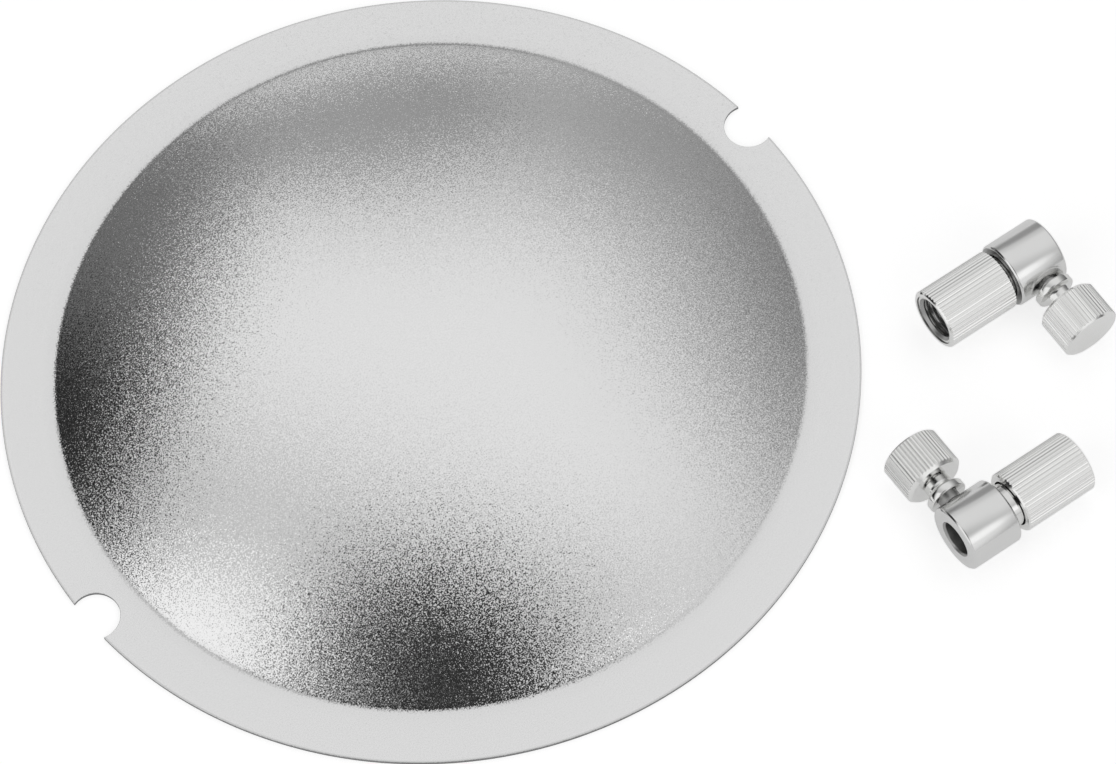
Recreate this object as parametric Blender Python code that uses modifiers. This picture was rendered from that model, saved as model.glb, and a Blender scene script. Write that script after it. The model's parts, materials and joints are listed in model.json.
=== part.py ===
"""Light deflector for a studio flash: a domed disc with two rod clamps beside it.

Units are metres and +Z is up. The disc lies dome up on its flat rim, and both clamps lie
on the same surface, z = 0. X runs along the clamps' axes, and the origin is at the middle
of the whole set's footprint.
"""

import bmesh
import bpy
from math import asin, atan2, cos, hypot, pi, radians, sin, sqrt

# Disc: one spun sheet with a flat rim
DISC_RADIUS = 0.0750
SHEET = 0.0007              # thickness of the sheet
DOME_RADIUS = 0.0655        # where the dome meets the rim
DOME_HEIGHT = 0.0163        # crown above the rim
CREASE_RADIUS = 0.0018      # bend between rim and dome, on the outer face
NOTCH_RADIUS = 0.0043       # half-round notches that take the clamps' necks
NOTCH_INSET = 0.0014        # notch centre, in from the disc's edge
NOTCH_COUNT = 2
NOTCH_TURN = radians(5.3)   # how far the disc lies turned from the clamps

# Clamp collar and the stud that stands out of it
COLLAR_RADIUS = 0.0060
COLLAR_LENGTH = 0.0097
COLLAR_EDGE = 0.0003        # broken edge at both ends
ROD_BORE = 0.0031           # radius of the bore for a 6 mm rod
BORE_CHAMFER = 0.0006
STUD_SEAT = 0.0030          # depth of the stud's seat in the collar
STUD_LENGTH = 0.0085        # stud beyond the collar
STUD_THREAD = 0.00345       # mean radius of its thread
NECK_RADIUS = 0.0040        # plain neck next to the collar

# Fluted barrel that screws along the stud
BARREL_RADIUS = 0.0056
BARREL_LENGTH = 0.0140
BARREL_CHAMFER = 0.0004
BARREL_FLUTES = 46
SLEEVE_LIP = 0.0020         # end wall that holds the liner in the sleeve
LINER_RADIUS = 0.00445
MOUTH_CHAMFER = 0.0005
MOUTH_RECESS = 0.0002       # liner's face, in from the sleeve's mouth

# Thumb screw
SHANK_RADIUS = 0.0018
SHANK_CHAMFER = 0.0004
FLANGE_RADIUS = 0.0036
FLANGE_THICKNESS = 0.0012
FLANGE_EDGE = 0.0003
WAIST_RADIUS = 0.0014
BOSS_RADIUS = 0.0021
BOSS_LENGTH = 0.0011
NECK_SPAN = 0.0026          # from the flange to the knob
PIN_RADIUS = 0.0015         # end of the screw inside the knob
PIN_LENGTH = 0.0042
KNOB_RADIUS = 0.0055
KNOB_LENGTH = 0.0075
KNOB_CHAMFER = 0.0006
KNOB_FLUTES = 46
SCREW_SHIFT = -0.0009       # screw's axis from the collar's middle, towards the barrel

FLUTE_DEPTH = 0.00026       # on barrel and knob alike
FIT_GAP = 0.0003            # between a piece and its seat
TIP_BACK = 0.0002           # screw's tip, back from the bore's wall

# How the set lies: each clamp's direction from the disc, its collar's distance from the
# disc's edge, the way its barrel points, and how far barrel and screw are opened
CLAMPS = {
    "clamp_a": {"bearing": radians(-26.14), "reach": 0.0296, "heading": pi,
                "barrel_gap": 0.00085, "flange_gap": 0.00060},
    "clamp_b": {"bearing": radians(-55.25), "reach": 0.0244, "heading": 0.0,
                "barrel_gap": 0.00200, "flange_gap": 0.00080},
}

DISC_STEPS = 84
ROUND_STEPS = 48
FINE_STEPS = 32


for old in list(bpy.data.objects):
    bpy.data.objects.remove(old, do_unlink=True)

parts = bpy.data.collections.new("light_deflector")
cutters = bpy.data.collections.new("cutters")
bpy.context.scene.collection.children.link(parts)
bpy.context.scene.collection.children.link(cutters)


def finish(name, colour, roughness):
    """A metal with its own colour and roughness."""
    material = bpy.data.materials.new(name)
    material.use_nodes = True
    shader = material.node_tree.nodes["Principled BSDF"]
    shader.inputs["Base Color"].default_value = (*colour, 1.0)
    shader.inputs["Metallic"].default_value = 1.0
    shader.inputs["Roughness"].default_value = roughness
    return material


def turned(name, profile, steps, material):
    """Turn (radius, height) points about local Z. The points run down the outer side;
    a profile that starts off the axis is closed into a ring."""
    ring = profile[0][0] > 0.0
    count = len(profile)
    edges = [(i, (i + 1) % count) for i in range(count if ring else count - 1)]
    mesh = bpy.data.meshes.new(name)
    mesh.from_pydata([(radius, 0.0, height) for radius, height in profile], edges, [])
    mesh.materials.append(material)
    piece = bpy.data.objects.new(name, mesh)
    parts.objects.link(piece)
    lathe = piece.modifiers.new("lathe", "SCREW")
    lathe.axis = "Z"
    lathe.steps = steps
    lathe.render_steps = steps
    lathe.use_merge_vertices = True
    lathe.merge_threshold = 0.00001
    lathe.use_smooth_shade = True
    return piece


def cut_flutes(piece, crest, count):
    """Draw every second column of the outer wall in, so that straight flutes run from
    chamfer to chamfer and end on them."""
    evaluated = piece.evaluated_get(bpy.context.evaluated_depsgraph_get())
    mesh = bpy.data.meshes.new_from_object(evaluated)
    piece.modifiers.clear()
    piece.data = mesh
    shaped = bmesh.new()
    shaped.from_mesh(mesh)
    wall = [v for v in shaped.verts if hypot(v.co.x, v.co.y) > crest - FLUTE_DEPTH / 2]
    middle = sum(v.co.z for v in wall) / len(wall)
    for vert in wall:
        column = round(atan2(vert.co.y, vert.co.x) / (pi / count))
        if column % 2:
            vert.co.x *= (crest - FLUTE_DEPTH) / crest
            vert.co.y *= (crest - FLUTE_DEPTH) / crest
            vert.co.z += FLUTE_DEPTH if vert.co.z > middle else -FLUTE_DEPTH
    shaped.to_mesh(mesh)
    shaped.free()


def drill(piece, name, radius, depth, place, parent, turn=(0.0, 0.0, 0.0)):
    """Cut a round hole, centred at place in the parent's frame."""
    bpy.ops.mesh.primitive_cylinder_add(vertices=FINE_STEPS, radius=radius, depth=depth)
    cutter = bpy.context.object
    cutter.name = name
    for home in list(cutter.users_collection):
        home.objects.unlink(cutter)
    cutters.objects.link(cutter)
    cutter.parent = parent
    cutter.location = place
    cutter.rotation_euler = turn
    cutter.display_type = "WIRE"
    cutter.hide_render = True
    cut = piece.modifiers.new(name, "BOOLEAN")
    cut.operation = "DIFFERENCE"
    cut.solver = "EXACT"
    cut.object = cutter


def dome_face(base, height, crease, floor, count):
    """Points of one face of the spun sheet from the crown out to the foot of the crease:
    a spherical cap that bends into a flat at the height floor."""
    sphere = (base ** 2 + height ** 2) / (2 * height)
    centre = floor + height - sphere
    # The crease rolls on the sphere's outside and on the flat
    bend_z = floor + crease
    bend_r = sqrt((sphere + crease) ** 2 - (bend_z - centre) ** 2)
    meet = atan2(bend_r, bend_z - centre)
    cap = [(sphere * sin(meet * i / count), centre + sphere * cos(meet * i / count))
           for i in range(count + 1)]
    foot = [(bend_r - crease * sin(meet * (1 - i / 3)), bend_z - crease * cos(meet * (1 - i / 3)))
            for i in range(1, 4)]
    return cap + foot


def build_disc(parent, material):
    """Domed sheet with a flat rim, notched at both ends of one diameter."""
    top = dome_face(DOME_RADIUS, DOME_HEIGHT, CREASE_RADIUS, SHEET, 9)
    under = dome_face(DOME_RADIUS - SHEET, DOME_HEIGHT, CREASE_RADIUS + SHEET, 0.0, 9)
    edge = [(DISC_RADIUS, SHEET), (DISC_RADIUS, 0.0)]
    disc = turned("deflector_disc", top + edge + under[::-1], DISC_STEPS, material)
    disc.parent = parent
    disc.rotation_euler = (0.0, 0.0, NOTCH_TURN)
    for index in range(NOTCH_COUNT):
        angle = 2 * pi * index / NOTCH_COUNT
        centre = DISC_RADIUS - NOTCH_INSET
        place = (centre * cos(angle), centre * sin(angle), SHEET / 2)
        drill(disc, f"notch_{index + 1}", NOTCH_RADIUS, 10 * SHEET, place, disc)


def build_collar(name, half, screw_turn, parent, material):
    """Collar with the rod's bore, the stud's seat and the thumb screw's hole."""
    seat = NECK_RADIUS + FIT_GAP
    profile = [
        (seat, half),
        (COLLAR_RADIUS - COLLAR_EDGE, half),
        (COLLAR_RADIUS, half - COLLAR_EDGE),
        (COLLAR_RADIUS, -half + COLLAR_EDGE),
        (COLLAR_RADIUS - COLLAR_EDGE, -half),
        (ROD_BORE + BORE_CHAMFER, -half),
        (ROD_BORE, -half + BORE_CHAMFER),
        (ROD_BORE, half - STUD_SEAT),
        (seat, half - STUD_SEAT),
    ]
    collar = turned(name, profile, ROUND_STEPS, material)
    depth = 2 * COLLAR_RADIUS
    place = (SCREW_SHIFT, depth / 2, 0.0)
    drill(collar, f"{name}_screw_hole", SHANK_RADIUS + FIT_GAP, depth, place, parent, screw_turn)
    return collar


def build_stud(name, half, material):
    """Stud with a plain neck next to the collar and its thread as a plain cylinder."""
    end = half + STUD_LENGTH
    shoulder = half + SLEEVE_LIP
    profile = [
        (0.0, end),
        (STUD_THREAD - FIT_GAP, end),
        (STUD_THREAD, end - FIT_GAP),
        (STUD_THREAD, shoulder),
        (NECK_RADIUS, shoulder),
        (NECK_RADIUS, half - STUD_SEAT + FIT_GAP),
        (0.0, half - STUD_SEAT + FIT_GAP),
    ]
    return turned(name, profile, FINE_STEPS, material)


def build_sleeve(name, start, material):
    """Fluted sleeve, with a lip at the collar's end that clears the neck."""
    end = start + BARREL_LENGTH
    bore = LINER_RADIUS + FIT_GAP
    hole = NECK_RADIUS + FIT_GAP
    profile = [
        (bore, end),
        (BARREL_RADIUS - BARREL_CHAMFER, end),
        (BARREL_RADIUS, end - BARREL_CHAMFER),
        (BARREL_RADIUS, start + BARREL_CHAMFER),
        (BARREL_RADIUS - BARREL_CHAMFER, start),
        (hole, start),
        (hole, start + SLEEVE_LIP),
        (bore, start + SLEEVE_LIP),
    ]
    sleeve = turned(name, profile, 2 * BARREL_FLUTES, material)
    cut_flutes(sleeve, BARREL_RADIUS, BARREL_FLUTES)
    return sleeve


def build_liner(name, start, material):
    """Threaded bush inside the sleeve, its thread as a plain bore."""
    end = start + BARREL_LENGTH - MOUTH_RECESS
    bore = STUD_THREAD + FIT_GAP
    foot = start + SLEEVE_LIP + FIT_GAP
    profile = [
        (bore, end - MOUTH_CHAMFER),
        (bore + MOUTH_CHAMFER, end),
        (LINER_RADIUS, end),
        (LINER_RADIUS, foot),
        (bore, foot),
    ]
    return turned(name, profile, FINE_STEPS, material)


def build_screw(name, flange, knob, material):
    """Thumb screw's shank, flange, waisted neck and the pin that carries the knob.
    Heights are from the clamp's axis; flange is the flange's inner face."""
    tip = ROD_BORE + TIP_BACK
    rim = flange + FLANGE_THICKNESS
    boss_top = knob - FIT_GAP
    waist = boss_top - BOSS_LENGTH - (BOSS_RADIUS - WAIST_RADIUS)
    profile = [
        (0.0, knob + PIN_LENGTH),
        (PIN_RADIUS, knob + PIN_LENGTH),
        (PIN_RADIUS, boss_top),
        (BOSS_RADIUS, boss_top),
        (BOSS_RADIUS, boss_top - BOSS_LENGTH),
        (WAIST_RADIUS, waist),
        ((WAIST_RADIUS + FLANGE_RADIUS) / 2, (waist + rim) / 2 - FLANGE_EDGE),
        (FLANGE_RADIUS - FLANGE_EDGE, rim),
        (FLANGE_RADIUS, rim - FLANGE_EDGE),
        (FLANGE_RADIUS, flange + FLANGE_EDGE),
        (FLANGE_RADIUS - FLANGE_EDGE, flange),
        (SHANK_RADIUS, flange),
        (SHANK_RADIUS, tip + SHANK_CHAMFER),
        (SHANK_RADIUS - SHANK_CHAMFER, tip),
        (0.0, tip),
    ]
    return turned(name, profile, FINE_STEPS, material)


def build_knob(name, base, material):
    """Fluted knob with a blind hole for the screw's pin."""
    end = base + KNOB_LENGTH
    hole = PIN_RADIUS + FIT_GAP
    floor = base + PIN_LENGTH + FIT_GAP
    profile = [
        (0.0, end),
        (KNOB_RADIUS - KNOB_CHAMFER, end),
        (KNOB_RADIUS, end - KNOB_CHAMFER),
        (KNOB_RADIUS, base + KNOB_CHAMFER),
        (KNOB_RADIUS - KNOB_CHAMFER, base),
        (hole, base),
        (hole, floor),
        (0.0, floor),
    ]
    knob = turned(name, profile, 2 * KNOB_FLUTES, material)
    cut_flutes(knob, KNOB_RADIUS, KNOB_FLUTES)
    return knob


def build_clamp(name, lay, parent):
    """One rod clamp. Its empty is on the bore's axis at the collar's middle, with local X
    towards the barrel and local Y out along the thumb screw."""
    half = COLLAR_LENGTH / 2
    barrel = half + lay["barrel_gap"]
    flange = COLLAR_RADIUS + lay["flange_gap"]
    knob = flange + FLANGE_THICKNESS + NECK_SPAN
    # The clamp rolls on its collar until the knob's outer rim meets the table
    rim = knob + KNOB_LENGTH - KNOB_CHAMFER
    roll = asin(COLLAR_RADIUS / hypot(rim, KNOB_RADIUS)) - atan2(KNOB_RADIUS, rim)

    spot = DISC_RADIUS + lay["reach"]
    place = bpy.data.objects.new(name, None)
    parts.objects.link(place)
    place.parent = parent
    place.location = (spot * cos(lay["bearing"]), spot * sin(lay["bearing"]), COLLAR_RADIUS)
    place.rotation_euler = (-roll, 0.0, lay["heading"])

    along = (0.0, pi / 2, 0.0)
    across = (-pi / 2, 0.0, 0.0)
    satin = finish(f"{name}_satin_nickel", (0.66, 0.66, 0.65), 0.32)
    bright = finish(f"{name}_bright_nickel", (0.78, 0.78, 0.77), 0.10)
    fluted = finish(f"{name}_fluted_nickel", (0.78, 0.78, 0.77), 0.18)
    on_axis = [
        build_collar(f"{name}_collar", half, across, place, satin),
        build_stud(f"{name}_stud", half, bright),
        build_sleeve(f"{name}_barrel_sleeve", barrel, fluted),
        build_liner(f"{name}_barrel_liner", barrel, bright),
    ]
    on_screw = [
        build_screw(f"{name}_screw", flange, knob, bright),
        build_knob(f"{name}_knob", knob, fluted),
    ]
    for piece in on_axis:
        piece.parent = place
        piece.rotation_euler = along
    for piece in on_screw:
        piece.parent = place
        piece.location = (SCREW_SHIFT, 0.0, 0.0)
        piece.rotation_euler = across


def centre_on_origin(root):
    """Shift the set so that the origin is at the middle of its footprint."""
    bpy.context.view_layer.update()
    graph = bpy.context.evaluated_depsgraph_get()
    corners = []
    for piece in parts.objects:
        if piece.type == "MESH":
            seen = piece.evaluated_get(graph)
            corners += [seen.matrix_world @ v.co for v in seen.to_mesh().vertices]
            seen.to_mesh_clear()
    for axis in (0, 1):
        values = [corner[axis] for corner in corners]
        root.location[axis] = -(min(values) + max(values)) / 2
    bpy.context.view_layer.update()


kit = bpy.data.objects.new("kit", None)
parts.objects.link(kit)
build_disc(kit, finish("frosted_aluminium", (0.80, 0.80, 0.80), 0.35))
for clamp, lay in CLAMPS.items():
    build_clamp(clamp, lay, kit)
centre_on_origin(kit)
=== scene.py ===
import json
import math
import bmesh
import bpy
from mathutils import Matrix, Vector


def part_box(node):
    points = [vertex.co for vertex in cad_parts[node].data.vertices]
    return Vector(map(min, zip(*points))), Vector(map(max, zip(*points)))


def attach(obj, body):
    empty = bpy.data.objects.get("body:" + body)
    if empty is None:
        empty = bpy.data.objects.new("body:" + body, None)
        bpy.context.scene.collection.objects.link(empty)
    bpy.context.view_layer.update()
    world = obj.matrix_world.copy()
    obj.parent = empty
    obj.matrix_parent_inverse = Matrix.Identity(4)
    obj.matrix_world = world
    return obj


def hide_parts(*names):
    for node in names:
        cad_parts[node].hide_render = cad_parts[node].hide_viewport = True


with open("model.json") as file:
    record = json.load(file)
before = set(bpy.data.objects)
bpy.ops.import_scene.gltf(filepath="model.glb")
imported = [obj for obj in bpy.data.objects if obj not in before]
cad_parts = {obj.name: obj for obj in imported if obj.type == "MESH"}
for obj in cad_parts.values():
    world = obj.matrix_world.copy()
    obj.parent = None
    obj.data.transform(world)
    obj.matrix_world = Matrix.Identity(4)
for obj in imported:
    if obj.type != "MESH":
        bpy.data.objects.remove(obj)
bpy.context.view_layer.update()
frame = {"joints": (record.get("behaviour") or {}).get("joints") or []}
mm = 0.001
touching = 0.00001                       # vertices this close are one
jointAxes = {joint["name"]: Vector(joint["axis"]) for joint in frame["joints"]}


def midBox(node):
    low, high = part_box(node)
    return (low + high) / 2


discCentre = midBox("deflector_disc")
discCentre.z = 0.0
print("frame loaded, disc centre", [round(v, 5) for v in discCentre])


# modelling helpers: a profile is drawn vertex by vertex beside local Z, then spun

def pickOnly(piece):
    bpy.ops.object.select_all(action="DESELECT")
    piece.select_set(True)
    bpy.context.view_layer.objects.active = piece


def startVertex(name):
    bpy.ops.object.select_all(action="DESELECT")
    bpy.ops.mesh.primitive_plane_add(size=mm)
    piece = bpy.context.object
    piece.name = piece.data.name = name
    bpy.ops.object.mode_set(mode="EDIT")
    bpy.ops.mesh.select_mode(type="VERT")
    bpy.ops.mesh.select_all(action="SELECT")
    bpy.ops.mesh.merge(type="CENTER")
    return piece


def drawProfile(points):
    at = Vector((points[0][0], 0, points[0][1]))
    bpy.ops.transform.translate(value=at)
    for radius, height in points[1:]:
        step = Vector((radius, 0, height)) - at
        bpy.ops.mesh.extrude_vertices_move(TRANSFORM_OT_translate={"value": step})
        at += step


def turnPiece(name, points, steps):
    # points run down the outer side; off the axis the profile closes into a ring
    piece = startVertex(name)
    drawProfile(points if points[0][0] == 0 else points + points[:1])
    bpy.ops.mesh.select_all(action="SELECT")
    bpy.ops.mesh.spin(steps=steps, angle=2 * math.pi, center=(0, 0, 0), axis=(0, 0, 1))
    bpy.ops.mesh.select_all(action="SELECT")
    bpy.ops.mesh.remove_doubles(threshold=touching)
    bpy.ops.mesh.normals_make_consistent(inside=False)
    return piece


def selectWhere(piece, wanted):
    bpy.ops.mesh.select_all(action="DESELECT")
    shape = bmesh.from_edit_mesh(piece.data)
    for vertex in shape.verts:
        vertex.select = wanted(vertex.co)
    shape.select_flush_mode()
    bmesh.update_edit_mesh(piece.data)


def around(co, count):
    # which of count equal steps round local Z a point stands at
    return round(math.atan2(co.y, co.x) * count / (2 * math.pi)) % count


def applyAll(piece):
    pickOnly(piece)
    for modifier in list(piece.modifiers):
        bpy.ops.object.modifier_apply(modifier=modifier.name)


def softEdges(piece, width, angle, segments):
    bevel = piece.modifiers.new("softEdges", "BEVEL")
    bevel.width = width
    bevel.segments = segments
    bevel.limit_method = "ANGLE"
    bevel.angle_limit = math.radians(angle)
    bevel.use_clamp_overlap = True
    applyAll(piece)


def cutRound(piece, radius, length, sides, matrix):
    bpy.ops.object.select_all(action="DESELECT")
    bpy.ops.mesh.primitive_cylinder_add(vertices=sides, radius=radius, depth=length)
    cutter = bpy.context.object
    cutter.matrix_world = matrix
    cut = piece.modifiers.new("cut", "BOOLEAN")
    cut.operation = "DIFFERENCE"
    cut.solver = "EXACT"
    cut.object = cutter
    applyAll(piece)
    bpy.data.objects.remove(cutter, do_unlink=True)


def smoothByAngle(piece, angle):
    pickOnly(piece)
    bpy.ops.object.shade_smooth_by_angle(angle=math.radians(angle))


def paintFaces(piece, material, wanted):
    # faces picked by their middle and normal take one more material
    piece.data.materials.append(material)
    pickOnly(piece)
    bpy.ops.object.mode_set(mode="EDIT")
    bpy.ops.mesh.select_mode(type="FACE")
    bpy.ops.mesh.select_all(action="DESELECT")
    shape = bmesh.from_edit_mesh(piece.data)
    for face in shape.faces:
        face.select = wanted(face.calc_center_median(), face.normal)
    bmesh.update_edit_mesh(piece.data)
    piece.active_material_index = len(piece.data.materials) - 1
    bpy.ops.object.material_slot_assign()
    bpy.ops.object.mode_set(mode="OBJECT")


inward = 0.5                             # a wall that faces the axis by this much is a bore's


def looksIn(at, facing):
    return at.x * facing.x + at.y * facing.y < -inward * at.xy.length


def settle(piece, matrix):
    # the place goes into the mesh, so the object stays at the origin
    pickOnly(piece)
    piece.matrix_world = matrix
    bpy.ops.object.transform_apply(location=True, rotation=True, scale=True)


def copyPiece(piece, name):
    twin = piece.copy()
    twin.data = piece.data.copy()
    twin.name = twin.data.name = name
    bpy.context.scene.collection.objects.link(twin)
    return twin


# metals: two shared effects, frost and turning marks, each placed with a metal's own values

noiseMiddle = 0.5
noiseSpan = (0.3, 0.7)                   # most of a noise's values lie between these
frost = {"cloudScale": 220.0, "cloudDetail": 2.0}
turning = {"ringDetail": 2.0, "breakScale": 300.0, "breakDetail": 2.0}


def newGroup(name, inputs, outputs):
    group = bpy.data.node_groups.new(name, "ShaderNodeTree")
    for way, sockets in (("INPUT", inputs), ("OUTPUT", outputs)):
        for label, kind in sockets.items():
            group.interface.new_socket(label, in_out=way, socket_type="NodeSocket" + kind)
    return group, group.nodes.new("NodeGroupInput"), group.nodes.new("NodeGroupOutput")


def addNode(tree, kind, settings=None, **values):
    node = tree.nodes.new(kind)
    for key, value in (settings or {}).items():
        setattr(node, key, value)
    for key, value in values.items():
        node.inputs[key.replace("_", " ")].default_value = value
    return node


def placeGroup(tree, group, vector, **values):
    node = addNode(tree, "ShaderNodeGroup", {"node_tree": group}, **values)
    tree.links.new(vector, node.inputs["Vector"])
    return node


def makeFrostGroup():
    # fine grains that each tilt the surface a little, any way round
    group, start, end = newGroup(
        "frostGrain",
        {"Vector": "Vector", "Normal": "Vector", "Grains": "Float", "Tilt": "Float"},
        {"Normal": "Vector", "Speck": "Float", "Tone": "Float"})
    grain = addNode(group, "ShaderNodeTexNoise", Detail=0.0)
    cloud = addNode(group, "ShaderNodeTexNoise", Scale=frost["cloudScale"], Detail=frost["cloudDetail"])
    centred = addNode(group, "ShaderNodeVectorMath", {"operation": "SUBTRACT"})
    centred.inputs[1].default_value = (noiseMiddle, noiseMiddle, noiseMiddle)
    lean = addNode(group, "ShaderNodeVectorMath", {"operation": "SCALE"})
    tilted = addNode(group, "ShaderNodeVectorMath", {"operation": "ADD"})
    unit = addNode(group, "ShaderNodeVectorMath", {"operation": "NORMALIZE"})
    group.links.new(start.outputs["Vector"], grain.inputs["Vector"])
    group.links.new(start.outputs["Grains"], grain.inputs["Scale"])
    group.links.new(start.outputs["Vector"], cloud.inputs["Vector"])
    group.links.new(grain.outputs["Color"], centred.inputs[0])
    group.links.new(centred.outputs["Vector"], lean.inputs[0])
    group.links.new(start.outputs["Tilt"], lean.inputs["Scale"])
    group.links.new(start.outputs["Normal"], tilted.inputs[0])
    group.links.new(lean.outputs["Vector"], tilted.inputs[1])
    group.links.new(tilted.outputs["Vector"], unit.inputs[0])
    group.links.new(unit.outputs["Vector"], end.inputs["Normal"])
    group.links.new(grain.outputs["Fac"], end.inputs["Speck"])
    group.links.new(cloud.outputs["Fac"], end.inputs["Tone"])
    return group


def makeTurnedGroup():
    # tool marks in rings round an axis along X, broken here and there
    group, start, end = newGroup(
        "turnedRings",
        {"Vector": "Vector", "Rings": "Float"},
        {"Height": "Float", "Tone": "Float"})
    split = addNode(group, "ShaderNodeSeparateXYZ")
    rings = addNode(group, "ShaderNodeTexNoise", {"noise_dimensions": "1D"}, Detail=turning["ringDetail"])
    breaks = addNode(group, "ShaderNodeTexNoise", Scale=turning["breakScale"], Detail=turning["breakDetail"])
    both = addNode(group, "ShaderNodeMath", {"operation": "MULTIPLY"})
    group.links.new(start.outputs["Vector"], split.inputs[0])
    group.links.new(split.outputs["X"], rings.inputs["W"])
    group.links.new(start.outputs["Rings"], rings.inputs["Scale"])
    group.links.new(start.outputs["Vector"], breaks.inputs["Vector"])
    group.links.new(rings.outputs["Fac"], both.inputs[0])
    group.links.new(breaks.outputs["Fac"], both.inputs[1])
    group.links.new(both.outputs[0], end.inputs["Height"])
    group.links.new(breaks.outputs["Fac"], end.inputs["Tone"])
    return group


frostGrain = makeFrostGroup()
turnedRings = makeTurnedGroup()

sheetGreyAndShade = (       # mm out from the centre, grey: the metal's own grey with painted shade, which darkens the crease, fades out across the rim and darkens the cut edge
    (60.0, 0.9), (64.4, 0.9), (65.3, 0.81), (66.2, 0.83), (68.0, 0.85),
    (74.4, 0.86), (74.6, 0.7), (75.0, 0.66))
speckShade = (0.97, 1.02)                # what a grain does to that grey
metals = {       # grains and rings per metre, lean of a grain, depth of a ring, range of roughness
    "frostedAluminium": {"greys": sheetGreyAndShade, "grains": 4400.0, "tilt": 0.4, "rough": (0.12, 0.14)},
    # the cut edge: its own rough sheared grey, darkened further as painted shade
    "shearedEdge": {"colour": (0.27, 0.27, 0.273), "grains": 2200.0, "tilt": 0.6, "rough": (0.35, 0.5)},
    "satinNickel": {"colour": (0.8, 0.8, 0.795), "rings": 9000.0, "ringDepth": 0.006 * mm,
                    "rough": (0.13, 0.2)},
    "brightNickel": {"colour": (0.82, 0.82, 0.81), "rings": 5000.0, "ringDepth": 0.002 * mm,
                     "rough": (0.05, 0.09)},
    "flutedNickel": {"colour": (0.9, 0.9, 0.89), "grains": 6000.0, "tilt": 0.03, "rough": (0.11, 0.17)},
    # a darker grey that paints shade into bores, threads and gaps
    "shadedNickel": {"colour": (0.42, 0.42, 0.415), "grains": 3000.0, "tilt": 0.05, "rough": (0.3, 0.42)},
}


def newMetal(name):
    material = bpy.data.materials.new(name)
    material.use_nodes = True
    tree = material.node_tree
    shader = tree.nodes["Principled BSDF"]
    shader.inputs["Metallic"].default_value = 1
    if "colour" in metals[name]:
        shader.inputs["Base Color"].default_value = (*metals[name]["colour"], 1)
    place = tree.nodes.new("ShaderNodeTexCoord").outputs["Object"]
    return material, tree, shader, place


def spread(tree, noise, span):
    node = addNode(tree, "ShaderNodeMapRange", From_Min=noiseSpan[0], From_Max=noiseSpan[1],
                   To_Min=span[0], To_Max=span[1])
    tree.links.new(noise, node.inputs["Value"])
    return node.outputs["Result"]


def greyAndShadeByRadius(tree, place, speck, greys):
    # the sheet's grey and painted shade by its distance from the disc's centre, mottled by the grains
    inner, outer = greys[0][0], greys[-1][0]
    centred = addNode(tree, "ShaderNodeMapping", Location=(-discCentre.x, -discCentre.y, 0),
                      Scale=(1, 1, 0))
    out = addNode(tree, "ShaderNodeVectorMath", {"operation": "LENGTH"})
    along = addNode(tree, "ShaderNodeMapRange", From_Min=inner * mm, From_Max=outer * mm)
    ramp = tree.nodes.new("ShaderNodeValToRGB")
    stops = ramp.color_ramp.elements
    for radius, grey in greys[1:-1]:
        stops.new((radius - inner) / (outer - inner))
    for stop, (radius, grey) in zip(stops, greys):
        stop.color = (grey, grey, grey, 1)
    shade = addNode(tree, "ShaderNodeVectorMath", {"operation": "SCALE"})
    tree.links.new(place, centred.inputs["Vector"])
    tree.links.new(centred.outputs["Vector"], out.inputs[0])
    tree.links.new(out.outputs["Value"], along.inputs["Value"])
    tree.links.new(along.outputs["Result"], ramp.inputs["Fac"])
    tree.links.new(ramp.outputs["Color"], shade.inputs[0])
    tree.links.new(spread(tree, speck, speckShade), shade.inputs["Scale"])
    return shade.outputs["Vector"]


def frostedMetal(name):
    m = metals[name]
    material, tree, shader, place = newMetal(name)
    grains = placeGroup(tree, frostGrain, place, Grains=m["grains"], Tilt=m["tilt"])
    surface = tree.nodes.new("ShaderNodeNewGeometry")
    tree.links.new(surface.outputs["Normal"], grains.inputs["Normal"])
    tree.links.new(grains.outputs["Normal"], shader.inputs["Normal"])
    tree.links.new(spread(tree, grains.outputs["Tone"], m["rough"]), shader.inputs["Roughness"])
    # the sheet's base colour carries painted shade in the crease, across the rim and at the cut edge
    if "greys" in m:
        grey = greyAndShadeByRadius(tree, place, grains.outputs["Speck"], m["greys"])
        tree.links.new(grey, shader.inputs["Base Color"])
    return material


def turnedMetal(name):
    m = metals[name]
    material, tree, shader, place = newMetal(name)
    marks = placeGroup(tree, turnedRings, place, Rings=m["rings"])
    bump = addNode(tree, "ShaderNodeBump", Strength=1.0, Distance=m["ringDepth"])
    tree.links.new(marks.outputs["Height"], bump.inputs["Height"])
    tree.links.new(bump.outputs["Normal"], shader.inputs["Normal"])
    tree.links.new(spread(tree, marks.outputs["Tone"], m["rough"]), shader.inputs["Roughness"])
    return material


frosted = frostedMetal("frostedAluminium")
# the sheet's cut edge: rough sheared metal whose grey also carries painted shade
sheared = frostedMetal("shearedEdge")
satin = turnedMetal("satinNickel")
bright = turnedMetal("brightNickel")
fluted = frostedMetal("flutedNickel")
shaded = frostedMetal("shadedNickel")    # painted shade: bores, threads and gaps are darkened where shade falls
print("materials made")


# deflector disc: one spun sheet, dome up, with a flat rim notched at two ends of a diameter

disc = {"radius": 74.8 * mm, "sheet": 0.7 * mm, "domeRadius": 65.5 * mm, "domeHeight": 16.3 * mm,
        "crease": 2.6 * mm, "notchRadius": 4.3 * mm, "notchInset": 1.4 * mm, "notchTurn": 5.3,
        "notchSides": 96, "cutLength": 7 * mm, "edge": 0.08 * mm, "edgeAngle": 60, "edgeRows": 2,
        "steps": 288, "domeRows": 40, "creaseRows": 8, "rimRows": 4, "smooth": 12,
        "upright": 0.3}                  # a face whose normal leans up less than this is sheared


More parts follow.
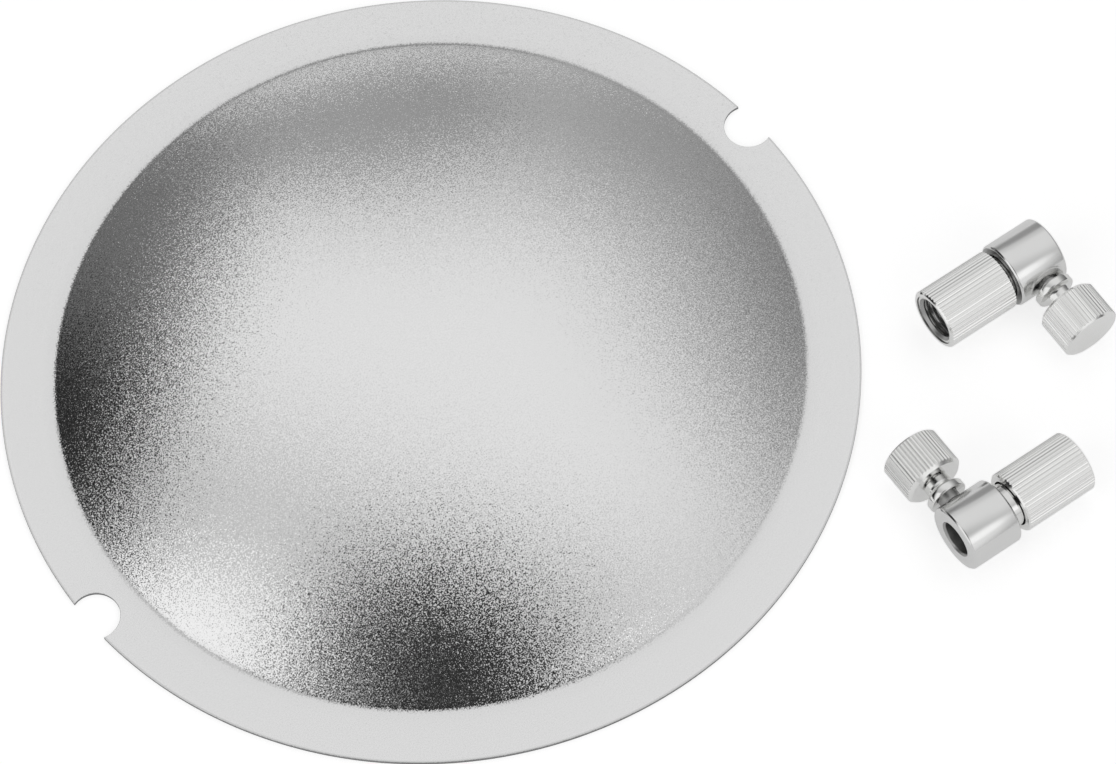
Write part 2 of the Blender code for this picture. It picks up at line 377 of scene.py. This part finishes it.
def domeFace(base, crease, low):
    # crown to the foot of the crease: a spherical cap that bends into the flat at low
    height, rows, bends = disc["domeHeight"], disc["domeRows"], disc["creaseRows"]
    sphere = (base ** 2 + height ** 2) / (2 * height)
    centre = low + height - sphere
    bendZ = low + crease
    bendR = math.sqrt((sphere + crease) ** 2 - (bendZ - centre) ** 2)
    meet = math.atan2(bendR, bendZ - centre)
    cap = [(sphere * math.sin(meet * i / rows), centre + sphere * math.cos(meet * i / rows))
           for i in range(rows + 1)]
    foot = []
    for i in range(1, bends + 1):
        lean = meet * (1 - i / bends)
        foot.append((bendR - crease * math.sin(lean), bendZ - crease * math.cos(lean)))
    return cap + foot


def makeDisc():
    d = disc
    top = domeFace(d["domeRadius"], d["crease"], d["sheet"])
    under = domeFace(d["domeRadius"] - d["sheet"], d["crease"] + d["sheet"], 0)
    foot = top[-1][0]
    rim = [foot + (d["radius"] - foot) * i / d["rimRows"] for i in range(1, d["rimRows"] + 1)]
    points = top + [(r, d["sheet"]) for r in rim] + [(r, 0) for r in reversed(rim)] + under[::-1]
    piece = turnPiece("discSheet", points, d["steps"])
    bpy.ops.object.mode_set(mode="OBJECT")
    for side in (0, 180):
        turn = Matrix.Rotation(math.radians(d["notchTurn"] + side), 4, "Z")
        place = Matrix.Translation((d["radius"] - d["notchInset"], 0, d["sheet"] / 2))
        cutRound(piece, d["notchRadius"], d["cutLength"], d["notchSides"], turn @ place)
    softEdges(piece, d["edge"], d["edgeAngle"], d["edgeRows"])
    piece.data.materials.append(frosted)
    # the cut edge takes the sheared grey with painted shade
    paintFaces(piece, sheared, lambda at, facing: abs(facing.z) < d["upright"])
    smoothByAngle(piece, d["smooth"])
    settle(piece, Matrix.Translation(discCentre))
    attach(piece, "disc")
    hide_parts("deflector_disc")


makeDisc()
print("disc made")


# rod clamp: modelled once with its axis on local Z, then copied to both places

clampSmooth = 35                                     # edges sharper than this stay crisp
fluteShares = (0, 0, 0.06, 0.5, 1, 0.5, 0.06, 0)     # depth of each column across one flute


def arc(centre, radius, start, stop, count):
    # points on a circle in the profile's plane, angles in degrees from the radius axis
    points = []
    for i in range(count + 1):
        angle = math.radians(start + (stop - start) * i / count)
        points.append((centre[0] + radius * math.cos(angle), centre[1] + radius * math.sin(angle)))
    return points


def cutFlutes(piece, grip, low, high):
    # each column of a flute is drawn in, and its ends slide out along the chamfers
    wall = grip["radius"]
    count = grip["flutes"] * len(fluteShares)

    def onWall(co, column):
        return co.xy.length > wall - touching and around(co, count) % len(fluteShares) == column

    for column, share in enumerate(fluteShares):
        if share:
            cut = grip["fluteDepth"] * share
            narrow = (wall - cut) / wall
            selectWhere(piece, lambda co: onWall(co, column) and co.z > high - touching)
            bpy.ops.transform.translate(value=(0, 0, cut))
            selectWhere(piece, lambda co: onWall(co, column) and co.z < low + touching)
            bpy.ops.transform.translate(value=(0, 0, -cut))
            selectWhere(piece, lambda co: onWall(co, column))
            bpy.ops.transform.resize(value=(narrow, narrow, 1), center_override=(0, 0, 0))


def threadRows(top, bottom, thread):
    # heights from top to bottom at whole fractions of the pitch
    rise = thread["pitch"] / thread["rows"]
    return [top - rise * i for i in range(int((top - bottom) / rise) + 1)]


def cutThread(piece, wall, heights, thread):
    # rows and columns of a plain wall move so that the ridge climbs one pitch a turn
    top, bottom = heights[0], heights[-1]
    steps = thread["steps"]
    perRow = steps // thread["rows"]

    def phaseOf(co):
        if abs(co.xy.length - wall) > touching or not bottom - touching < co.z < top + touching:
            return None
        row = round((top - co.z) / (thread["pitch"] / thread["rows"]))
        return (row * perRow + around(co, steps)) % steps

    for phase in range(steps):
        share = min(1, max(0, 1.5 - abs(4 * phase / steps - 2)))     # flat root, flat crest
        if share > 0:
            scale = (wall + thread["depth"] * share) / wall
            selectWhere(piece, lambda co: phaseOf(co) == phase)
            bpy.ops.transform.resize(value=(scale, scale, 1), center_override=(0, 0, 0))


def finishPiece(piece, material):
    bpy.ops.object.mode_set(mode="OBJECT")
    piece.data.materials.append(material)
    smoothByAngle(piece, clampSmooth)


collar = {"radius": 6 * mm, "length": 9.7 * mm, "edge": 0.3 * mm, "bore": 3.1 * mm, "boreChamfer": 0.4 * mm,
          "seat": 4.3 * mm, "seatDepth": 3 * mm, "screwHole": 2.1 * mm, "screwShift": -0.9 * mm,
          "holeSides": 64, "round": 0.1 * mm, "roundAngle": 25, "roundRows": 3, "steps": 96,
          "sideways": 0.5, "endOn": 0.9}     # how normals of the hole's wall and of the end face lean


def makeCollar():
    c = collar
    half = c["length"] / 2
    points = [(c["seat"], half), (c["radius"] - c["edge"], half), (c["radius"], half - c["edge"]),
              (c["radius"], c["edge"] - half), (c["radius"] - c["edge"], -half),
              (c["bore"] + c["boreChamfer"], -half), (c["bore"], c["boreChamfer"] - half),
              (c["bore"], half - c["seatDepth"]), (c["seat"], half - c["seatDepth"])]
    piece = turnPiece("collar", points, c["steps"])
    bpy.ops.object.mode_set(mode="OBJECT")
    softEdges(piece, c["round"], c["roundAngle"], c["roundRows"])
    across = Matrix.Translation((c["radius"], 0, c["screwShift"])) @ Matrix.Rotation(math.pi / 2, 4, "Y")
    cutRound(piece, c["screwHole"], 2 * c["radius"], c["holeSides"], across)
    finishPiece(piece, satin)
    mouth = c["bore"] + c["boreChamfer"] / 2

    # faces that take painted shade: the screw hole, the bore, the stud's seat and the end face at the stud
    def hidden(at, facing):
        offHole = math.hypot(at.y, at.z - c["screwShift"])
        inHole = offHole < c["screwHole"] + touching and at.x > 0 and abs(facing.x) < c["sideways"]
        inBore = at.xy.length < mouth and looksIn(at, facing)
        inSeat = at.xy.length < c["seat"] + touching and at.z > half - c["seatDepth"] - touching
        atStud = facing.z > c["endOn"] and at.z > half - touching
        return inHole or inBore or inSeat or atStud

    paintFaces(piece, shaded, hidden)
    return piece


stud = {"neck": 4 * mm, "foot": 2.15 * mm, "shoulder": 6.85 * mm, "shoulderEdge": 0.15 * mm,
        "end": 13.35 * mm, "endChamfer": 0.6 * mm, "endEdge": 0.1 * mm, "crest": 3.7 * mm,
        "depth": 0.5 * mm, "pitch": 1 * mm, "runout": 0.3 * mm, "rows": 8, "steps": 64}


def makeStud():
    s = stud
    heights = threadRows(s["end"] - s["endChamfer"], s["shoulder"] + s["runout"], s)
    root = s["crest"] - s["depth"]
    points = [(0, s["end"]), (root - s["endEdge"], s["end"])] + [(root, z) for z in heights]
    points += [(root, s["shoulder"]), (s["neck"] - s["shoulderEdge"], s["shoulder"]),
               (s["neck"], s["shoulder"] - s["shoulderEdge"]), (s["neck"], s["foot"]), (0, s["foot"])]
    piece = turnPiece("stud", points, s["steps"])
    cutThread(piece, root, heights[1:-1], s)
    finishPiece(piece, bright)
    # the stud's thread past the shoulder takes painted shade
    paintFaces(piece, shaded, lambda at, facing: at.z > s["shoulder"] - touching)
    return piece


sleeve = {"radius": 5.6 * mm, "length": 14 * mm, "chamfer": 0.32 * mm, "bore": 4.75 * mm, "lip": 2 * mm,
          "hole": 4.3 * mm, "flutes": 46, "fluteDepth": 0.16 * mm}


def makeSleeve():
    s = sleeve
    wide, end = s["radius"], s["length"]
    points = [(s["bore"], end), (wide - s["chamfer"], end), (wide, end - s["chamfer"]),
              (wide, s["chamfer"]), (wide - s["chamfer"], 0), (s["hole"], 0),
              (s["hole"], s["lip"]), (s["bore"], s["lip"])]
    piece = turnPiece("barrelSleeve", points, s["flutes"] * len(fluteShares))
    cutFlutes(piece, s, s["chamfer"], end - s["chamfer"])
    finishPiece(piece, fluted)
    # the sleeve's bore takes painted shade
    paintFaces(piece, shaded, looksIn)
    return piece


liner = {"radius": 4.45 * mm, "foot": 2.3 * mm, "end": 13.8 * mm, "mouth": 0.5 * mm, "lip": 4.68 * mm,
         "lipDepth": 1.2 * mm, "crest": 3.75 * mm, "depth": 0.4 * mm, "pitch": 1 * mm,
         "runout": 0.3 * mm, "rows": 8, "steps": 64}


def makeLiner():
    s = liner
    heights = threadRows(s["end"] - s["mouth"], s["foot"] + s["runout"], s)
    lipZ = s["end"] - s["lipDepth"]
    points = [(s["crest"] + s["mouth"], s["end"]), (s["lip"], s["end"]), (s["lip"], lipZ),
              (s["radius"], lipZ), (s["radius"], s["foot"]), (s["crest"], s["foot"])]
    points += [(s["crest"], z) for z in reversed(heights)]
    piece = turnPiece("barrelLiner", points, s["steps"])
    cutThread(piece, s["crest"], heights[1:-1], s)
    finishPiece(piece, bright)

    # the liner's inside takes painted shade
    def inside(at, facing):
        return at.xy.length < s["radius"] and at.z < s["end"] - touching

    paintFaces(piece, shaded, inside)
    return piece


screw = {"shank": 1.8 * mm, "depth": 0.3 * mm, "pitch": 0.7 * mm, "runout": 0.5 * mm, "rows": 8,
         "tip": -3.3 * mm, "tipEdge": 0.2 * mm, "reliefRadius": 1.95 * mm, "relief": 1.1 * mm,
         "reliefEdge": 0.1 * mm, "flange": 3.6 * mm, "flangeHeight": 1.5 * mm, "flangeEdge": 0.3 * mm,
         "edgeRows": 5, "neck": 2.45 * mm, "neckEdge": 0.1 * mm, "fillet": 0.8 * mm, "filletRows": 8,
         "span": 2.3 * mm, "gap": 0.1 * mm, "pin": 1.5 * mm, "pinLength": 4.2 * mm, "steps": 64}


def makeScrew():
    # height 0 is the flange's inner face
    s = screw
    top = s["flangeHeight"] + s["span"] - s["gap"]
    flange, edge = s["flange"], s["flangeEdge"]
    neck, fillet = s["neck"], s["fillet"]
    heights = threadRows(-s["relief"], s["tip"] + s["runout"], s)
    root = s["shank"] - s["depth"]
    points = [(0, top + s["pinLength"]), (s["pin"], top + s["pinLength"]), (s["pin"], top),
              (neck - s["neckEdge"], top), (neck, top - s["neckEdge"])]
    points += arc((neck + fillet, s["flangeHeight"] + fillet), fillet, 180, 270, s["filletRows"])
    points += arc((flange - edge, s["flangeHeight"] - edge), edge, 90, 0, s["edgeRows"])[1:]
    points += arc((flange - edge, edge), edge, 0, -90, s["edgeRows"])
    points += [(s["reliefRadius"], 0), (s["reliefRadius"], s["reliefEdge"] - s["relief"])]
    points += [(root, z) for z in heights]
    points += [(root - s["tipEdge"], s["tip"]), (0, s["tip"])]
    piece = turnPiece("clampScrew", points, s["steps"])
    cutThread(piece, root, heights[1:-1], s)
    finishPiece(piece, bright)
    # the thread below the flange takes painted shade
    paintFaces(piece, shaded, lambda at, facing: at.z < -touching)
    return piece


knob = {"radius": 5.5 * mm, "length": 7.5 * mm, "chamfer": 0.6 * mm, "endChamfer": 0.35 * mm,
        "hole": 1.8 * mm, "holeDepth": 4.5 * mm, "dish": 0.15 * mm, "flutes": 46, "fluteDepth": 0.16 * mm}


def makeKnob():
    k = knob
    wide, end, outer = k["radius"], k["length"], k["endChamfer"]
    points = [(0, end), (wide - outer, end), (wide, end - outer), (wide, k["chamfer"]),
              (wide - k["chamfer"], 0), (k["hole"], k["dish"]), (k["hole"], k["holeDepth"]),
              (0, k["holeDepth"])]
    piece = turnPiece("screwKnob", points, k["flutes"] * len(fluteShares))
    cutFlutes(piece, k, k["chamfer"], end - outer)
    finishPiece(piece, fluted)

    # the knob's hole takes painted shade
    def inHole(at, facing):
        return at.xy.length < k["hole"] + touching and at.z < end - touching

    paintFaces(piece, shaded, inHole)
    return piece


models = {"collar": makeCollar(), "stud": makeStud(), "barrelSleeve": makeSleeve(),
          "barrelLiner": makeLiner(), "clampScrew": makeScrew(), "screwKnob": makeKnob()}
print("clamp pieces modelled", {name: len(model.data.polygons) for name, model in models.items()})

clampPieces = {        # piece: node ending, body ending, material slot
    "collar": ("_collar", "", "satin_nickel"),
    "stud": ("_stud", "", "bright_nickel"),
    "barrelSleeve": ("_barrel_sleeve", "_sleeve", "fluted_nickel"),
    "barrelLiner": ("_barrel_liner", "_barrel", "bright_nickel"),
    "clampScrew": ("_screw", "_screw", "bright_nickel"),
    "screwKnob": ("_knob", "_knob", "fluted_nickel"),
}


def axes(x, y, z, place):
    return Matrix.Translation(place) @ Matrix((x, y, z)).transposed().to_4x4()


def placeClamp(clamp, letter):
    middle = midBox(clamp + "_collar")
    along = jointAxes[clamp + "_barrel_turn"]       # towards the barrel's mouth
    out = jointAxes[clamp + "_screw_turn"]          # out along the thumb screw
    up = along.cross(out)
    barrelStart = (midBox(clamp + "_barrel_sleeve") - middle).dot(along) - sleeve["length"] / 2
    knobBase = (midBox(clamp + "_knob") - middle).dot(out) - knob["length"] / 2
    flangeBase = knobBase - screw["span"] - screw["flangeHeight"]
    screwFoot = middle + along * collar["screwShift"]
    places = {
        "collar": axes(out, up, along, middle),
        "stud": axes(out, up, along, middle),
        "barrelSleeve": axes(out, up, along, middle + along * barrelStart),
        "barrelLiner": axes(out, up, along, middle + along * barrelStart),
        "clampScrew": axes(up, along, out, screwFoot + out * flangeBase),
        "screwKnob": axes(up, along, out, screwFoot + out * knobBase),
    }
    for name, (node, body, slot) in clampPieces.items():
        piece = copyPiece(models[name], name + letter)
        settle(piece, places[name])
        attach(piece, clamp + body)
        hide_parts(clamp + node)


placeClamp("clamp_a", "A")
placeClamp("clamp_b", "B")
for model in models.values():
    bpy.data.objects.remove(model, do_unlink=True)
print("clamps placed")


# camera, floor and light; directions are right, away and up as the photograph is seen

view = {"turn": -31.7, "elevation": 62.32, "roll": 3.51, "distance": 776.76 * mm,
        "right": 22.2 * mm, "up": -3.04 * mm, "lens": 144.22, "sensor": 36.0, "near": 10 * mm}
seen = Matrix.Rotation(math.radians(view["turn"]), 4, "Z")
aim = discCentre + Vector((0, 0, disc["sheet"]))


def placeCamera():
    tilt, roll = math.radians(view["elevation"]), math.radians(view["roll"])
    back = Vector((0, -math.cos(tilt), math.sin(tilt)))
    flatRight, flatUp = Vector((1, 0, 0)), Vector((0, math.sin(tilt), math.cos(tilt)))
    right = flatRight * math.cos(roll) - flatUp * math.sin(roll)
    up = flatRight * math.sin(roll) + flatUp * math.cos(roll)
    eye = back * view["distance"] + right * view["right"] + up * view["up"]
    lens = bpy.data.cameras.new("camera")
    lens.lens = view["lens"]
    lens.sensor_width = view["sensor"]
    lens.clip_start = view["near"]
    lens.dof.use_dof = False
    camera = bpy.data.objects.new("camera", lens)
    bpy.context.scene.collection.objects.link(camera)
    camera.matrix_world = Matrix.Translation(aim) @ seen @ axes(right, up, back, eye)
    bpy.context.scene.camera = camera


floor = {"size": 12.0, "drop": 0.05 * mm, "colour": (0.55, 0.55, 0.55), "glow": 0.7, "reflected": 0.38}


def tableGlow(tree):
    # the table's white as the camera, glass and metal see it; it lights nothing
    path = tree.nodes.new("ShaderNodeLightPath")
    clear = addNode(tree, "ShaderNodeMath", {"operation": "MAXIMUM"})
    straight = addNode(tree, "ShaderNodeMath", {"operation": "MULTIPLY"})
    straight.inputs[1].default_value = floor["glow"]
    total = addNode(tree, "ShaderNodeMath", {"operation": "MULTIPLY_ADD"})
    total.inputs[1].default_value = floor["reflected"]
    tree.links.new(path.outputs["Is Camera Ray"], clear.inputs[0])
    tree.links.new(path.outputs["Is Transmission Ray"], clear.inputs[1])
    tree.links.new(clear.outputs[0], straight.inputs[0])
    tree.links.new(path.outputs["Is Glossy Ray"], total.inputs[0])
    tree.links.new(straight.outputs[0], total.inputs[2])
    return total.outputs[0]


def makeFloor():
    bpy.ops.object.select_all(action="DESELECT")
    bpy.ops.mesh.primitive_plane_add(size=floor["size"], location=(0, 0, -floor["drop"]))
    plane = bpy.context.object
    plane.name = "floor"
    material = bpy.data.materials.new("whiteTable")
    material.use_nodes = True
    tree = material.node_tree
    tree.nodes.remove(tree.nodes["Principled BSDF"])
    paint = addNode(tree, "ShaderNodeBsdfDiffuse", Color=(*floor["colour"], 1))
    glow = addNode(tree, "ShaderNodeEmission", Color=(1, 1, 1, 1))
    both = addNode(tree, "ShaderNodeAddShader")
    tree.links.new(tableGlow(tree), glow.inputs["Strength"])
    tree.links.new(paint.outputs[0], both.inputs[0])
    tree.links.new(glow.outputs[0], both.inputs[1])
    tree.links.new(both.outputs[0], tree.nodes["Material Output"].inputs["Surface"])
    plane.data.materials.append(material)


studio = {"ceiling": 0.808, "horizon": 0.12, "band": 0.2, "least": 0.02, "white": 1.0}
walls = {       # direction seen from the disc, angular radius, soft edge, change of brightness
    "leftWall": {"to": (-0.875, 0.483, 0.014), "radius": 41.4, "soft": 8.7, "change": -0.648},
    "cameraSide": {"to": (-0.114, -0.57, 0.814), "radius": 14.3, "soft": 15.7, "change": -0.819},
    "nearWall": {"to": (-0.345, -0.862, -0.372), "radius": 109.4, "soft": 16.3, "change": -0.266},
    "farWall": {"to": (-0.001, 0.917, 0.4), "radius": 16.4, "soft": 15.9, "change": -0.206},
    "farCornice": {"to": (-0.103, 0.938, 0.331), "radius": 13.5, "soft": 3.6, "change": -0.278},
    "rightWall": {"to": (0.876, 0.467, -0.12), "radius": 36.8, "soft": 33.8, "change": -0.65},
    "leftPanel": {"to": (-0.621, -0.592, 0.514), "radius": 34.2, "soft": 2.8, "change": 0.427},
    "frontPanel": {"to": (0.609, -0.522, 0.598), "radius": 10, "soft": 5, "change": 0.3},
    "frontWash": {"to": (0.457, -0.762, 0.457), "radius": 25, "soft": 10, "change": 0.33},
}


def wallsLevel(tree, place):
    # brightness of the studio by direction: the ceiling, changed by each wall and panel in turn
    level = None
    for wall in walls.values():
        facing = addNode(tree, "ShaderNodeVectorMath", {"operation": "DOT_PRODUCT"})
        facing.inputs[1].default_value = seen.to_3x3() @ Vector(wall["to"]).normalized()
        edge = addNode(tree, "ShaderNodeMapRange", {"interpolation_type": "SMOOTHSTEP"},
                       From_Min=math.cos(math.radians(wall["radius"] + wall["soft"])),
                       From_Max=math.cos(math.radians(max(wall["radius"] - wall["soft"], 0))),
                       To_Min=0, To_Max=wall["change"])
        total = addNode(tree, "ShaderNodeMath", {"operation": "ADD"})
        tree.links.new(place, facing.inputs[0])
        tree.links.new(facing.outputs["Value"], edge.inputs["Value"])
        tree.links.new(edge.outputs["Result"], total.inputs[0])
        if level:
            tree.links.new(level, total.inputs[1])
        else:
            total.inputs[1].default_value = studio["ceiling"]
        level = total.outputs[0]
    return level


def makeWorld():
    world = bpy.data.worlds.new("studio")
    bpy.context.scene.world = world
    world.use_nodes = True
    tree = world.node_tree
    place = tree.nodes.new("ShaderNodeTexCoord").outputs["Generated"]
    split = addNode(tree, "ShaderNodeSeparateXYZ")
    band = addNode(tree, "ShaderNodeMapRange", {"interpolation_type": "SMOOTHSTEP"}, From_Min=0,
                   From_Max=studio["band"], To_Min=studio["horizon"], To_Max=0)
    lit = addNode(tree, "ShaderNodeMath", {"operation": "MAXIMUM"})
    lit.inputs[1].default_value = studio["least"]
    both = addNode(tree, "ShaderNodeMath", {"operation": "MAXIMUM"})
    path = tree.nodes.new("ShaderNodeLightPath")
    pick = addNode(tree, "ShaderNodeMix", {"data_type": "FLOAT"})      # sockets 0, 2, 3: factor, A, B
    pick.inputs[3].default_value = studio["white"]
    shader = tree.nodes["Background"]
    shader.inputs["Color"].default_value = (1, 1, 1, 1)
    tree.links.new(place, split.inputs[0])
    tree.links.new(split.outputs["Z"], band.inputs["Value"])
    tree.links.new(wallsLevel(tree, place), lit.inputs[0])
    tree.links.new(lit.outputs[0], both.inputs[0])
    tree.links.new(band.outputs["Result"], both.inputs[1])
    tree.links.new(path.outputs["Is Camera Ray"], pick.inputs[0])
    tree.links.new(both.outputs[0], pick.inputs[2])
    tree.links.new(pick.outputs[0], shader.inputs["Strength"])


placeCamera()
makeFloor()
makeWorld()
bpy.context.scene.view_settings.view_transform = "Standard"
print("camera, floor and light set")
